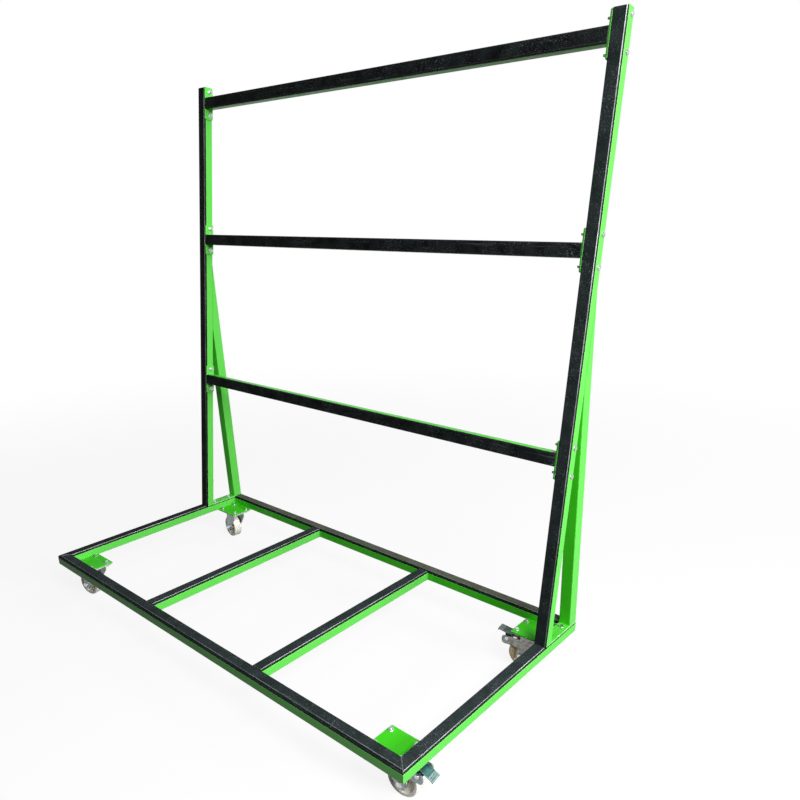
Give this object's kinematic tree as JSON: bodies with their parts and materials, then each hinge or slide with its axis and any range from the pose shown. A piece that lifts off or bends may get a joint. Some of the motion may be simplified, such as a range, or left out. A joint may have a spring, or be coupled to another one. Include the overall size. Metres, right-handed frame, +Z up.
{
  "type": "window frame cart",
  "caption": "Wheeled rack of green rectangular tube with a low deck and a leaning back of cross rails, edged with dark strips, for moving window frames upright on swivel casters.",
  "frame": {"origin": "on the floor, below the middle of the whole cart's bounding box", "axes": "+X to the right along the deck, +Y to the back where the posts stand, +Z up"},
  "size_m": [1.829, 0.9156, 1.9075],
  "materials": {
    "green_paint": "gloss",
    "edge_strip": "matte",
    "zinc_steel": "zinc plated",
    "pedal_zinc": "blue zinc plated",
    "wheel": "satin"
  },
  "bodies": {
    "frame": {"caster_bolts": "zinc_steel", "caster_nuts": "zinc_steel", "foot_bolts": "zinc_steel", "foot_nuts": "zinc_steel", "front_left_caster_plate": "zinc_steel", "front_left_corner_plate": "green_paint", "front_rail": "green_paint", "front_right_caster_plate": "zinc_steel", "front_right_corner_plate": "green_paint", "front_strip": "edge_strip", "left_brace": "green_paint", "left_crossbar": "green_paint", "left_crossbar_strip": "edge_strip", "left_foot_plate": "green_paint", "left_post": "green_paint", "left_post_strip": "edge_strip", "left_side_rail": "green_paint", "left_side_strip": "edge_strip", "lower_rail": "green_paint", "lower_rail_end_plates": "green_paint", "lower_rail_strip": "edge_strip", "middle_rail": "green_paint", "middle_rail_end_plates": "green_paint", "middle_rail_strip": "edge_strip", "post_caps": "green_paint", "rail_bolts": "zinc_steel", "rail_nuts": "zinc_steel", "rear_left_caster_plate": "zinc_steel", "rear_left_corner_plate": "green_paint", "rear_rail": "green_paint", "rear_right_caster_plate": "zinc_steel", "rear_right_corner_plate": "green_paint", "rear_strip": "edge_strip", "right_brace": "green_paint", "right_crossbar": "green_paint", "right_crossbar_strip": "edge_strip", "right_foot_plate": "green_paint", "right_post": "green_paint", "right_post_strip": "edge_strip", "right_side_rail": "green_paint", "right_side_strip": "edge_strip", "top_rail": "green_paint", "top_rail_end_plates": "green_paint", "top_rail_strip": "edge_strip"},
    "front_left_swivel": {"front_left_axle": "zinc_steel", "front_left_fork": "zinc_steel"},
    "front_left_roller": {"front_left_wheel": "wheel"},
    "front_right_swivel": {"front_right_axle": "zinc_steel", "front_right_brake_pin": "zinc_steel", "front_right_fork": "zinc_steel"},
    "front_right_roller": {"front_right_wheel": "wheel"},
    "front_right_pedal": {"front_right_brake_pedal": "pedal_zinc"},
    "rear_left_swivel": {"rear_left_axle": "zinc_steel", "rear_left_fork": "zinc_steel"},
    "rear_left_roller": {"rear_left_wheel": "wheel"},
    "rear_right_swivel": {"rear_right_axle": "zinc_steel", "rear_right_brake_pin": "zinc_steel", "rear_right_fork": "zinc_steel"},
    "rear_right_roller": {"rear_right_wheel": "wheel"},
    "rear_right_pedal": {"rear_right_brake_pedal": "pedal_zinc"}
  },
  "joints": [
    {"name": "front_left_swivel_turn", "type": "hinge", "parent": "frame", "child": "front_left_swivel", "pos_m": [-0.80666, -0.36784, 0.136], "axis": [0, 0, 1], "continuous": true},
    {"name": "front_left_wheel_spin", "type": "hinge", "parent": "front_left_swivel", "child": "front_left_roller", "pos_m": [-0.83601, -0.37407, 0.0475], "axis": [0.2079, -0.9781, 0], "continuous": true},
    {"name": "front_right_swivel_turn", "type": "hinge", "parent": "frame", "child": "front_right_swivel", "pos_m": [0.78834, -0.36784, 0.136], "axis": [0, 0, 1], "continuous": true},
    {"name": "front_right_wheel_spin", "type": "hinge", "parent": "front_right_swivel", "child": "front_right_roller", "pos_m": [0.81817, -0.3647, 0.0475], "axis": [-0.1045, 0.9945, 0], "continuous": true},
    {"name": "front_right_brake_press", "type": "hinge", "parent": "front_right_swivel", "child": "front_right_pedal", "pos_m": [0.87039, -0.35921, 0.097], "axis": [-0.1045, 0.9945, 0], "range_deg": [-38, 0]},
    {"name": "rear_left_swivel_turn", "type": "hinge", "parent": "frame", "child": "rear_left_swivel", "pos_m": [-0.80666, 0.31816, 0.136], "axis": [0, 0, 1], "continuous": true},
    {"name": "rear_left_wheel_spin", "type": "hinge", "parent": "rear_left_swivel", "child": "rear_left_roller", "pos_m": [-0.83637, 0.32234, 0.0475], "axis": [-0.1392, -0.9903, 0], "continuous": true},
    {"name": "rear_right_swivel_turn", "type": "hinge", "parent": "frame", "child": "rear_right_swivel", "pos_m": [0.78834, 0.31816, 0.136], "axis": [0, 0, 1], "continuous": true},
    {"name": "rear_right_wheel_spin", "type": "hinge", "parent": "rear_right_swivel", "child": "rear_right_roller", "pos_m": [0.75863, 0.31399, 0.0475], "axis": [0.1392, -0.9903, 0], "continuous": true},
    {"name": "rear_right_brake_press", "type": "hinge", "parent": "rear_right_swivel", "child": "rear_right_pedal", "pos_m": [0.70664, 0.30668, 0.097], "axis": [0.1392, -0.9903, 0], "range_deg": [0, 38]}
  ]
}
